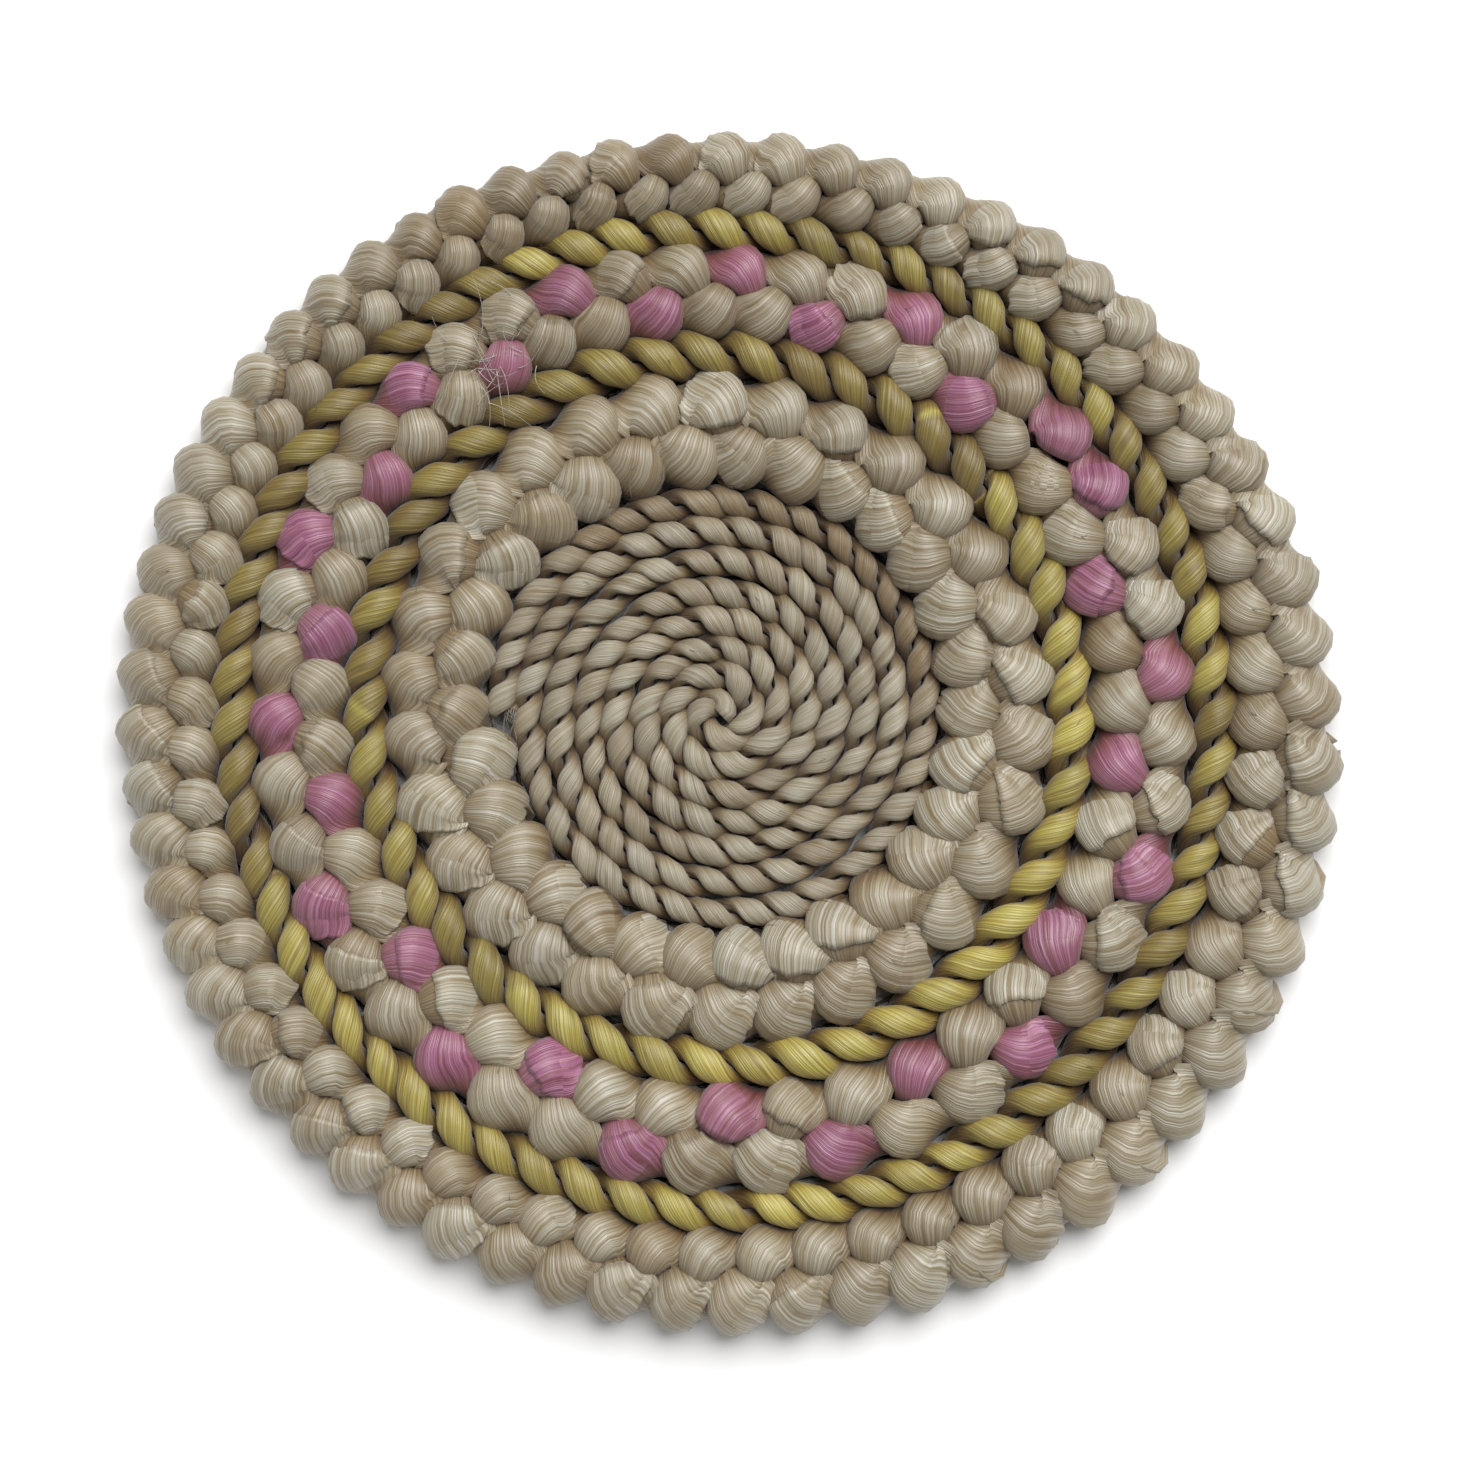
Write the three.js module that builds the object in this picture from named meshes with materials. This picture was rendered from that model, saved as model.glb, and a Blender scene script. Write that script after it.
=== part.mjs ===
// A round chair pad of corn husk, lying flat with its top up. A two-ply cord coils inwards to the middle,
// and five rows are sewn round it edge to edge: a braid, a twisted cord, a braid, a twisted cord and a
// wide outer braid. A sewing thread lies along each seam between the rows.
// Millimetres. +Z is up, and the origin is under the middle of the pad, on the surface it rests on.

import * as THREE from 'three';

const TURN = 2 * Math.PI;
const DEGREE = TURN / 360;
const QUARTER = TURN / 4;
const END_CLEARANCE = 12 * DEGREE;

// Each seam is a slightly oval ring round its own centre, because the rows drift as they are sewn on.
const COIL_RIM = { x: -4.3, y: 7.0, radius: 74.3, oval: 0.4, ovalAngle: -50 };
const INNER_BRAID_RIM = { x: -3.7, y: 8.0, radius: 109.8, oval: 1.6, ovalAngle: -50 };
const INNER_YELLOW_RIM = { x: -3.1, y: 7.6, radius: 123.5, oval: 2.4, ovalAngle: -49 };
const MIXED_BRAID_RIM = { x: -2.2, y: 5.6, radius: 154.5, oval: 1.6, ovalAngle: -46 };
const OUTER_YELLOW_RIM = { x: -1.5, y: 3.9, radius: 168.3, oval: 1.5, ovalAngle: -42 };
const PAD_RIM = { x: 0, y: 0, radius: 200, oval: 3.2, ovalAngle: -29 };

const MID_HEIGHT = 10.5;
const SEAM_CLEARANCE = 1.2;
const JOINT_GAP = 1.8;

// Braid strands: level as they pass over and under each other, this far above and below the mid height.
const STRAND_LIFT = 7;
const STRAND_WIDTH = 7.4;
const STRAND_HEIGHT = 7;
const STRANDS = 3;
const BRAID_BREAKS = [15 * DEGREE, 75 * DEGREE];

const PLIES = 2;
const CORD_BREAKS = [45 * DEGREE];

const COIL_HEIGHT = 9;
const COIL_PLY_SIZE = 3.4;
const COIL_PLY_REACH = 2.3;
const COIL_PLY_LIFT = 3.2;
const COIL_TURNS = 7.1;
const COIL_TWISTS = 68;
const COIL_START_ANGLE = 180;

const THREAD_SIZE = 1.3;
const THREAD_STEP = 16;
const COIL_THREAD_STEP = 7;
const THREAD_HEIGHT = 2.9;

const CREAM = 0xc9bfa2;
const PINK = 0xb56a92;
const YELLOW = 0xb3a24d;
const OFF_WHITE = 0xd8d2c2;

function huskMaterial(colour) {
  return new THREE.MeshStandardMaterial({ color: colour, roughness: 0.55, metalness: 0 });
}

// A path through listed points. Its sections stand upright: their x runs sideways and their y straight up,
// so a level stretch has a level face above and below.
class UprightPath extends THREE.Curve {
  constructor(points) {
    super();
    this.points = points;
  }

  getPoint(t) {
    return this.points[Math.round(t * (this.points.length - 1))].clone();
  }

  getUtoTmapping(u) {
    return u;
  }

  computeFrenetFrames(segments) {
    const tangents = this.points.map((point, i) => {
      const before = this.points[Math.max(i - 1, 0)];
      const after = this.points[Math.min(i + 1, segments)];
      return after.clone().sub(before).normalize();
    });
    const normals = tangents.map((tangent) => new THREE.Vector3(-tangent.y, tangent.x, 0).normalize());
    const binormals = tangents.map(() => new THREE.Vector3(0, 0, 1));
    return { tangents, normals, binormals };
  }
}

function rectangle(width, height) {
  const corners = [[-1, -1], [1, -1], [1, 1], [-1, 1]];
  return new THREE.Shape(corners.map(([x, y]) => new THREE.Vector2(x * width / 2, y * height / 2)));
}

function triangle(size) {
  const corners = [[0, 1], [-0.87, -0.5], [0.87, -0.5]];
  return new THREE.Shape(corners.map(([x, y]) => new THREE.Vector2(x * size / 2, y * size / 2)));
}

function tube(name, points, section, material) {
  const path = new UprightPath(points);
  const geometry = new THREE.ExtrudeGeometry(section, { steps: points.length - 1, extrudePath: path });
  const mesh = new THREE.Mesh(geometry, material);
  mesh.name = name;
  return mesh;
}

function seamPoint(seam, angle) {
  const radius = seam.radius + seam.oval * Math.cos(2 * (angle - seam.ovalAngle * DEGREE));
  return new THREE.Vector2(seam.x + radius * Math.cos(angle), seam.y + radius * Math.sin(angle));
}

// A row lies between two seams. Strands travel clockwise round it, from its start angle.
function rowAngle(row, share) {
  const round = TURN * share;
  const from = -row.startAngle * DEGREE;
  const cosChange = Math.cos(from) - Math.cos(from + round);
  const sinChange = Math.sin(from + round) - Math.sin(from);
  return -from - round - (row.bunchCos * cosChange + row.bunchSin * sinChange) * DEGREE;
}

// A point of a row: side is -1 at the inner edge that its strands may reach and 1 at the outer one.
function rowPoint(row, share, side, height, strandWidth) {
  const angle = rowAngle(row, share);
  const inner = seamPoint(row.inside, angle);
  const outer = seamPoint(row.outside, angle);
  const reach = inner.distanceTo(outer) / 2 - SEAM_CLEARANCE - strandWidth / 2;
  const across = outer.clone().sub(inner).normalize();
  const middle = inner.clone().add(outer).divideScalar(2);
  const spot = middle.add(across.multiplyScalar(side * reach));
  return new THREE.Vector3(spot.x, spot.y, height);
}

// Shares of the way round, from 0 to 1, where the phase is at one of its breaks in each quarter cycle.
function phaseShares(startPhase, cycles, breaks) {
  const endPhase = startPhase + cycles * TURN;
  const shares = [0];
  for (let quarter = Math.floor(startPhase / QUARTER); quarter * QUARTER < endPhase; quarter += 1) {
    for (const part of breaks) {
      const phase = quarter * QUARTER + part;
      const clear = phase > startPhase + END_CLEARANCE && phase < endPhase - END_CLEARANCE;
      if (clear) shares.push((phase - startPhase) / (cycles * TURN));
    }
  }
  shares.push(1);
  return shares;
}

// The last point stops short of the next strand's first point, so the ends meet with a small gap.
function shorten(points) {
  const last = points[points.length - 1];
  const back = points[points.length - 2].clone().sub(last);
  last.addScaledVector(back, JOINT_GAP / Math.hypot(back.x, back.y));
  return points;
}

// A strand weaves between the edges once a cycle: over from an edge to the middle, then under.
function braidStrand(row, index) {
  const startPhase = TURN * (row.startPhase + index / STRANDS);
  const cycles = row.lobes / STRANDS;
  const points = phaseShares(startPhase, cycles, BRAID_BREAKS).map((share) => {
    const phase = startPhase + cycles * TURN * share;
    const height = MID_HEIGHT + STRAND_LIFT * THREE.MathUtils.clamp(2 * Math.sin(2 * phase), -1, 1);
    return rowPoint(row, share, Math.cos(phase), height, STRAND_WIDTH);
  });
  const material = huskMaterial(row.colours[index]);
  return tube(row.names[index], shorten(points), rectangle(STRAND_WIDTH, STRAND_HEIGHT), material);
}

function braid(row) {
  return row.names.map((name, index) => braidStrand(row, index));
}

// Cord plies go round the corners of a square, so a sine or cosine becomes -1 or 1 at the steps.
function squared(wave) {
  return THREE.MathUtils.clamp(Math.SQRT2 * wave, -1, 1);
}

// A cord's plies wind round its middle line, going inwards over the top as they travel clockwise.
function cordPly(row, index) {
  const startPhase = TURN * (row.startPhase + index / PLIES);
  const points = phaseShares(startPhase, row.twists, CORD_BREAKS).map((share) => {
    const phase = startPhase + row.twists * TURN * share;
    const height = MID_HEIGHT + row.lift * squared(Math.sin(phase));
    return rowPoint(row, share, squared(Math.cos(phase)), height, row.plySize);
  });
  const section = rectangle(row.plySize, row.plySize);
  return tube(row.names[index], shorten(points), section, huskMaterial(YELLOW));
}

function cord(row) {
  return row.names.map((name, index) => cordPly(row, index));
}

// The coil's middle line hugs the rim for about half a turn, then ducks inside its own cut end.
function coilRadius(turns) {
  const spiral = 72.8 - 10.54 * turns + 0.14 * turns * turns;
  const hugging = 70.4 - 1.5 * turns;
  const duck = THREE.MathUtils.smoothstep(turns, 0.35, 0.95);
  return THREE.MathUtils.lerp(hugging, spiral, duck);
}

function coilPoint(turns, outward, height) {
  const angle = COIL_START_ANGLE * DEGREE - TURN * turns;
  const radius = coilRadius(turns) + outward;
  return new THREE.Vector3(COIL_RIM.x + radius * Math.cos(angle), COIL_RIM.y + radius * Math.sin(angle), height);
}

// Numbers of turns from the cut end inwards, evenly spaced along the coil's middle line.
function coilStations(spacing, from, to) {
  const stations = [from];
  let turns = from;
  while (turns < to) {
    turns += spacing / (TURN * coilRadius(turns));
    stations.push(turns);
  }
  return stations;
}

function coilPly(name, index) {
  const lay = coilLength() / COIL_TWISTS;
  const points = coilStations(lay / 4, 0, COIL_TURNS).map((turns, step) => {
    const phase = QUARTER * (step + 0.5) + TURN * index / PLIES;
    const outward = COIL_PLY_REACH * squared(Math.cos(phase));
    return coilPoint(turns, outward, COIL_HEIGHT + COIL_PLY_LIFT * squared(Math.sin(phase)));
  });
  return tube(name, points, rectangle(COIL_PLY_SIZE, COIL_PLY_SIZE), huskMaterial(CREAM));
}

function coilLength() {
  const slice = 0.01;
  let length = 0;
  for (let turns = 0; turns < COIL_TURNS; turns += slice) length += TURN * coilRadius(turns) * slice;
  return length;
}

function seamThread(name, seam) {
  const steps = Math.round(TURN * seam.radius / THREAD_STEP);
  const points = [];
  for (let i = 0; i <= steps; i += 1) {
    const spot = seamPoint(seam, -TURN * i / steps);
    points.push(new THREE.Vector3(spot.x, spot.y, THREAD_HEIGHT));
  }
  return tube(name, shorten(points), triangle(THREAD_SIZE), huskMaterial(OFF_WHITE));
}

// The coil's own seam runs under the groove between one turn and the next.
function coilThread() {
  const stations = coilStations(COIL_THREAD_STEP, 0.9, COIL_TURNS - 0.6);
  const points = stations.map((turns) => {
    const groove = (coilRadius(turns + 1) - coilRadius(turns)) / 2;
    return coilPoint(turns, groove, THREAD_HEIGHT);
  });
  return tube('coil_seam_thread', points, triangle(THREAD_SIZE), huskMaterial(OFF_WHITE));
}

const innerBraid = {
  names: ['inner_braid_strand_1', 'inner_braid_strand_2', 'inner_braid_strand_3'],
  colours: [CREAM, CREAM, CREAM],
  inside: COIL_RIM, outside: INNER_BRAID_RIM,
  lobes: 30, startAngle: 0, startPhase: 0, bunchCos: 0, bunchSin: 0,
};

const innerYellow = {
  names: ['inner_yellow_ply_a', 'inner_yellow_ply_b'],
  inside: INNER_BRAID_RIM, outside: INNER_YELLOW_RIM,
  twists: 22.5, plySize: 4.8, lift: 3.6, startAngle: 40, startPhase: 0, bunchCos: 0, bunchSin: 0,
};

const mixedBraid = {
  names: ['mixed_braid_pink_strand', 'mixed_braid_cream_strand_1', 'mixed_braid_cream_strand_2'],
  colours: [PINK, CREAM, CREAM],
  inside: INNER_YELLOW_RIM, outside: MIXED_BRAID_RIM,
  lobes: 43, startAngle: 45, startPhase: 7 / 12, bunchCos: 4.2, bunchSin: 2.5,
};

const outerYellow = {
  names: ['outer_yellow_ply_a', 'outer_yellow_ply_b'],
  inside: MIXED_BRAID_RIM, outside: OUTER_YELLOW_RIM,
  twists: 32, plySize: 4.3, lift: 3.8, startAngle: 200, startPhase: 0, bunchCos: 0, bunchSin: 0,
};

const outerBraid = {
  names: ['outer_braid_strand_1', 'outer_braid_strand_2', 'outer_braid_strand_3'],
  colours: [CREAM, CREAM, CREAM],
  inside: OUTER_YELLOW_RIM, outside: PAD_RIM,
  lobes: 63, startAngle: 0, startPhase: 0, bunchCos: 2.6, bunchSin: 4.0,
};

const pad = new THREE.Group();
pad.add(coilPly('centre_coil_ply_a', 0), coilPly('centre_coil_ply_b', 1), coilThread());
pad.add(seamThread('coil_to_inner_braid_thread', COIL_RIM));
pad.add(...braid(innerBraid));
pad.add(seamThread('inner_braid_to_yellow_thread', INNER_BRAID_RIM));
pad.add(...cord(innerYellow));
pad.add(seamThread('yellow_to_mixed_braid_thread', INNER_YELLOW_RIM));
pad.add(...braid(mixedBraid));
pad.add(seamThread('mixed_braid_to_yellow_thread', MIXED_BRAID_RIM));
pad.add(...cord(outerYellow));
pad.add(seamThread('yellow_to_outer_braid_thread', OUTER_YELLOW_RIM));
pad.add(...braid(outerBraid));

const box = new THREE.Box3().setFromObject(pad);
const centre = box.getCenter(new THREE.Vector3());
pad.position.set(-centre.x, -centre.y, -box.min.z);

export default pad;
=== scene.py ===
"""A round chair pad of plaited and twisted corn husk, lying flat and seen from above.

Every strand and ply is its own mesh, swept along the braid or cord that it belongs to. Metres, Z up.
"""

import math

import bpy
import numpy as np
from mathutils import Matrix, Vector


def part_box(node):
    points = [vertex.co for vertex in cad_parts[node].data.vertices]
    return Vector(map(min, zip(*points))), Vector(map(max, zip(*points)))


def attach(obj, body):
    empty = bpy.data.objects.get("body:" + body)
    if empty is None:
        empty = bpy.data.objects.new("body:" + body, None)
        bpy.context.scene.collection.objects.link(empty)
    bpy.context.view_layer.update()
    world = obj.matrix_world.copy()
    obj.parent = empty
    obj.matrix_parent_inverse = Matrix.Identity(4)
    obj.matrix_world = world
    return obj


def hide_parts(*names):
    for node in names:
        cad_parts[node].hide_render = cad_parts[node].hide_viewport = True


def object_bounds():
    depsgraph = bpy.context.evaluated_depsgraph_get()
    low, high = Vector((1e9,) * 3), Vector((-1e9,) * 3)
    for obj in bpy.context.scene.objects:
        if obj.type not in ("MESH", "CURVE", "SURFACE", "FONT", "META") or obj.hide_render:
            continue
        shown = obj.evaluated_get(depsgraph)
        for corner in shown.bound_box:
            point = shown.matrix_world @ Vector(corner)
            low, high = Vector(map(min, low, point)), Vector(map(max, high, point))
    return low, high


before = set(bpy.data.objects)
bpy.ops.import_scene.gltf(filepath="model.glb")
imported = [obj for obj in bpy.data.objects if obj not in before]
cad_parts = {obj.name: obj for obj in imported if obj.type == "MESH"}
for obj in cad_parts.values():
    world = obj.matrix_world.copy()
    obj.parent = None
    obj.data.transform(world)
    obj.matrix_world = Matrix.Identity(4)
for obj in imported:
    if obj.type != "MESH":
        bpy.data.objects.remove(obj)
cad_low, cad_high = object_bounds()

MM = 0.001
TURN = 2 * math.pi

# Where the rows lie. The seams between them are read from the threads that run along them.
THREAD_HALF_WIDTH = 0.57 * MM
MID_HEIGHT = (cad_low.z + cad_high.z) / 2
COIL_HEIGHT = 9.2 * MM
COIL_CORD_RADIUS = 5.45 * MM
COIL_DUCK_START = 0.35
COIL_DUCK_LENGTH = 0.6
FLOOR_CLEARANCE = 0.15 * MM
UP = np.array([0.0, 0.0, 1.0])


def seam(node, oval, oval_angle):
    """A slightly oval ring: centre, mean radius, ovality and the angle at which it is widest."""
    low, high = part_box(node)
    radius = (high.x - low.x + high.y - low.y) / 4 - THREAD_HALF_WIDTH
    return {
        "centre": np.array([(low.x + high.x) / 2, (low.y + high.y) / 2]),
        "radius": radius,
        "oval": oval * MM,
        "oval_angle": math.radians(oval_angle),
    }


def rim_seam(oval, oval_angle):
    """The pad's own outline, as a ring of the same kind."""
    radius = (cad_high.x - cad_low.x + cad_high.y - cad_low.y) / 4
    centre = np.array([(cad_low.x + cad_high.x) / 2, (cad_low.y + cad_high.y) / 2])
    return {"centre": centre, "radius": radius, "oval": oval * MM, "oval_angle": math.radians(oval_angle)}


COIL_RIM = seam("coil_to_inner_braid_thread", 0.4, -50)
INNER_BRAID_RIM = seam("inner_braid_to_yellow_thread", 1.6, -50)
INNER_YELLOW_RIM = seam("yellow_to_mixed_braid_thread", 2.4, -49)
MIXED_BRAID_RIM = seam("mixed_braid_to_yellow_thread", 1.6, -46)
OUTER_YELLOW_RIM = seam("yellow_to_outer_braid_thread", 1.5, -42)
PAD_RIM = rim_seam(3.2, -29)


def eased(share):
    """A share from 0 to 1 that starts and stops gently."""
    return share * share * (3 - 2 * share)


def coil_radius(turns):
    """The coil hugs its rim for about half a turn, then ducks inside its own cut end and spirals in."""
    spiral = (73.3 - 10.5 * turns + 0.13 * turns**2) * MM
    hugging = (70.4 - 3.4 * turns) * MM
    duck = eased(np.clip((turns - COIL_DUCK_START) / COIL_DUCK_LENGTH, 0, 1))
    return hugging + (spiral - hugging) * duck


def coil_angle(turns):
    """The coil starts at its cut end on the -X side and winds inwards clockwise."""
    return math.pi - TURN * turns


def coil_path_radius(turns):
    """The coil's radius round its rim's centre. The spiral's own centre lies a little to one side."""
    settled = np.clip((turns - COIL_DUCK_START) / COIL_DUCK_LENGTH, 0, 1)
    return coil_radius(turns) + 0.8 * MM * settled * np.cos(coil_angle(turns) + math.radians(35))


def coil_edge(angle):
    """The coil's outer edge. It steps in by one cord, over a short way, at the coil's cut end."""
    turns = (math.pi - angle) / TURN % 1
    step = eased(np.clip((turns - 0.97) / 0.03, 0, 1))
    return coil_radius(turns) * (1 - step) + coil_radius(0.0) * step + COIL_CORD_RADIUS


def radial(angle):
    """Flat unit vectors that point outwards at some angles."""
    return np.column_stack([np.cos(angle), np.sin(angle)])


def seam_points(ring, angle):
    """Points of a seam, seen from above, at some angles. The coil's own edge stands for its rim."""
    radius = ring["radius"] + ring["oval"] * np.cos(2 * (angle - ring["oval_angle"]))
    if ring is COIL_RIM:
        radius = coil_edge(angle)
    return ring["centre"] + radius[:, None] * radial(angle)


def row_angle(row, share):
    """The angle, anticlockwise from +X, of a share of the way round. Rows are worked clockwise."""
    start = -math.radians(row["start_angle"])
    turned = TURN * share
    cos_change = math.cos(start) - np.cos(start + turned)
    sin_change = np.sin(start + turned) - math.sin(start)
    bunching = np.radians(row["bunch_cos"] * cos_change + row["bunch_sin"] * sin_change)
    return -start - turned - bunching


# ---------------------------------------------------------------- sweeping

# Painted shade in the crevices thins out from the first share of a row's height upwards, over the second
# share, and the tops get a faint painted highlight. There is less of the painted shade near the pad's rim.
CREVICE_HEIGHT = 0.12
CREVICE_FADE = 0.72
RIM_OPENNESS = 0.85
RIM_REACH = 12 * MM
RIM_FADE = 8 * MM


def smooth_noise(rng, x, spacing, size):
    """A smooth random wave along x, with about one swing for each spacing."""
    count = int(np.ceil((x[-1] - x[0]) / spacing)) + 3
    knots = x[0] + spacing * (np.arange(count) - 1)
    return size * np.interp(x, knots, rng.uniform(-1, 1, count))


def unit(vectors):
    return vectors / np.linalg.norm(vectors, axis=1, keepdims=True)


def path_length(path):
    """The distance along a path at each of its points."""
    return np.concatenate([[0], np.cumsum(np.linalg.norm(np.diff(path, axis=0), axis=1))])


def sweep(path, thin_hint, half_width, half_height, sides, relief):
    """Rings of an oval section along a path. The thin axis follows thin_hint as far as the path allows."""
    tangent = unit(np.gradient(path, axis=0))
    thin = unit(thin_hint - np.sum(thin_hint * tangent, 1, keepdims=True) * tangent)
    wide = np.cross(tangent, thin)
    around = TURN * np.arange(sides) / sides
    cos, sin = np.cos(around), np.sin(around)
    across = (half_width[:, None] * cos + relief * cos)[..., None]
    through = (half_height[:, None] * sin + relief * sin)[..., None]
    return path[:, None, :] + across * wide[:, None, :] + through * thin[:, None, :]


def husk_relief(rng, length, sides, folds, size, twist):
    """Lengthwise folds of the husk leaves: a few broad ones, many fine ones, drifting round slowly."""
    around = TURN * np.arange(sides) / sides
    drift = twist * length[:, None] + smooth_noise(rng, length, 0.03, 0.14)[:, None]
    relief = np.zeros((len(length), sides))
    broad = ((3, 1.2), (5, 0.9), (8, 0.6))
    fine = ((folds, 0.55), (folds + 5, 0.45), (folds - 4, 0.5))
    for count, share in broad + fine:
        strength = 1 + smooth_noise(rng, length, 0.02, 0.6)[:, None]
        wave = 2 * np.abs(np.cos(count * (around + drift) / 2 + rng.uniform(0, math.pi))) - 1.27
        relief += share * strength * (wave if count % 2 == 0 else np.cos(count * (around + drift)))
    return size * relief


def openness(rings, middle):
    """How far each point is from the crevices at mid height, where shade is painted in; the highest points
    get a painted highlight. The pad's own rim stays open.
    """
    height = np.abs(rings[..., 2] - middle) / (rings[..., 2].max() - middle)
    from_rim = PAD_RIM["radius"] - np.linalg.norm(rings[..., :2] - PAD_RIM["centre"], axis=2)
    near_rim = RIM_OPENNESS * np.clip((RIM_REACH - from_rim) / RIM_FADE, 0, 1)
    return np.clip(np.maximum((height - CREVICE_HEIGHT) / CREVICE_FADE, near_rim), 0, 1)


def tube_faces(count, sides):
    """Quads along a tube of rings, and a fan on each end round the two points that follow the rings."""
    i = np.arange(count - 1)[:, None] * sides
    j = np.arange(sides)
    k = (j + 1) % sides
    quads = np.stack([i + j, i + k, i + sides + k, i + sides + j], -1).reshape(-1, 4)
    top = (count - 1) * sides
    first, last = count * sides, count * sides + 1
    caps = np.concatenate([
        np.stack([k, j, np.full(sides, first)], 1),
        np.stack([top + j, top + k, np.full(sides, last)], 1),
    ])
    return quads, caps


def with_ends(values):
    """Ring values, followed by the means of the first and the last ring for the two end points."""
    return np.concatenate([values.reshape(-1, values.shape[-1]), [values[0].mean(0), values[-1].mean(0)]])


def tube_part(rings, length, tone, middle=MID_HEIGHT):
    """Points, faces, grain and tone of one closed tube."""
    count, sides, _ = rings.shape
    around = TURN * np.arange(sides) / sides
    grain = np.stack(np.broadcast_arrays(np.cos(around), np.sin(around), length[:, None]), 2)
    # The fourth tone channel says where the painted shade and the painted highlight fall.
    tones = np.concatenate([np.repeat(tone[:, None, :], sides, 1), openness(rings, middle)[..., None]], 2)
    quads, caps = tube_faces(count, sides)
    return with_ends(rings), quads, caps, with_ends(grain), with_ends(tones)


def make_mesh(name, parts, material):
    """One object from its parts, with the grain place and the tone that the husk material reads."""
    starts = np.cumsum([0] + [len(part[0]) for part in parts])[:-1]
    points = np.concatenate([part[0] for part in parts])
    quads = np.concatenate([part[1] + at for part, at in zip(parts, starts)])
    triangles = np.concatenate([part[2] + at for part, at in zip(parts, starts)])
    mesh = bpy.data.meshes.new(name)
    mesh.vertices.add(len(points))
    mesh.vertices.foreach_set("co", points.astype(np.float32).ravel())
    loops = np.concatenate([quads.ravel(), triangles.ravel()])
    mesh.loops.add(len(loops))
    mesh.loops.foreach_set("vertex_index", loops.astype(np.int32))
    quad_starts = 4 * np.arange(len(quads))
    triangle_starts = 4 * len(quads) + 3 * np.arange(len(triangles))
    loop_starts = np.concatenate([quad_starts, triangle_starts])
    mesh.polygons.add(len(loop_starts))
    mesh.polygons.foreach_set("loop_start", loop_starts.astype(np.int32))
    mesh.polygons.foreach_set("use_smooth", np.ones(len(loop_starts), bool))
    mesh.update(calc_edges=True)
    write_attribute(mesh, "grain", "FLOAT_VECTOR", "vector", np.concatenate([part[3] for part in parts]))
    write_attribute(mesh, "tone", "FLOAT_COLOR", "color", np.concatenate([part[4] for part in parts]))
    piece = bpy.data.objects.new(name, mesh)
    bpy.context.collection.objects.link(piece)
    mesh.materials.append(material)
    return piece


def write_attribute(mesh, name, kind, field, values):
    """Stores one value for each point of a mesh."""
    attribute = mesh.attributes.new(name, kind, "POINT")
    attribute.data.foreach_set(field, values.astype(np.float32).ravel())


def settle(rings):
    """Flattens what would sink through the surface that the pad rests on."""
    low = cad_low.z + FLOOR_CLEARANCE
    rings[..., 2] = np.maximum(rings[..., 2], low)
    return rings


# ---------------------------------------------------------------- braids

# The shape of a strand by phase, as (degrees, value) keys that repeat every half turn. The strand turns over
# the row's edge at 0, crosses on top at 45, dives through the middle at 90 and passes below at 135. Its half
# width is a share of the row's half width, its half thickness is in millimetres and its lift is a share of
# the row's own lift. The keys are blurred over a few degrees to each side.
KEY_BLUR = 4
STRAND_SPREAD = [(0, 0.63), (26, 0.68), (52, 0.63), (76, 0.44), (94, 0.32), (135, 0.72)]
STRAND_THICKNESS = [(0, 5.8), (30, 6.2), (60, 6.4), (92, 4.6), (135, 5.2)]
STRAND_LIFT = [(0, -0.15), (25, 0.55), (50, 1.0), (74, 0.9), (92, -0.2), (112, -0.95), (150, -0.9)]
ROLL_LEAD = math.radians(14)
ROLL_STEEPNESS = 1.8
CROSSING_LAG = math.radians(22)
HIDDEN_PHASE = math.radians(135)
LOBE_LEAD = math.radians(60)
STRAND_FOLDS = 18
STRAND_FOLD_TWIST = 3.0
STRAND_RELIEF = 0.05 * MM
STRAND_WANDER = 1.0 * MM
STRAND_BOB = 0.5 * MM
STRAND_SWELL = 0.09
BRAID_WISP = 7 * MM

# Strands are painted tan by this much, between these degrees of phase, as painted shade where they dive
# under others.
DIVE_SHADE_TAN = 0.3
DIVE_PLACES = (48, 80, 120, 150)

# A loose leaf is a shell of this thickness on a grid of rows and columns. Its fixed end and its long sides
# sink into the strand.
LEAF_ROWS = 14
LEAF_COLUMNS = 25
LEAF_THICKNESS = 0.3 * MM
LEAF_HEIGHT = 0.22 * MM
LEAF_SIDE_SINK = 0.45 * MM
LEAF_END_SINK = 1.1 * MM

# Where leaves start, how far they reach and how ragged they are, in degrees of phase after the edge. A tear
# bares tan husk from a little before its free end to where the strand dives.
LIP_START = (2, 14)
LIP_REACH = 50
LIP_RAGGED = 3.5
LIP_LIFT = (0.8 * MM, 1.4 * MM)
TEAR_START = (58, 74)
TEAR_REACH = -60
TEAR_RAGGED = 2.5
TEAR_LIFT = (0.5 * MM, 1.1 * MM)
BARED_LEAD = 12
BARED_END = 105
BARED_TAN = (0.6, 1.0)

# A wisp is a hair of this many points and sides. It stays between the floor and a little above the pad.
WISP_POINTS = 10
WISP_SIDES = 5
WISP_RADIUS = 0.16 * MM
WISP_FLOOR = 1.0 * MM
WISP_CEILING = 4.0 * MM


def keyed(phase, keys):
    """A value that repeats every half turn of phase, running smoothly past its keys."""
    places, values = zip(*keys)
    table = np.interp(np.arange(180), places, values, period=180)
    for _ in range(3):
        table = np.mean([np.roll(table, shift) for shift in range(-KEY_BLUR, KEY_BLUR + 1)], 0)
    return np.interp(np.degrees(phase) % 180, np.arange(180), table, period=180)


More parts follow.
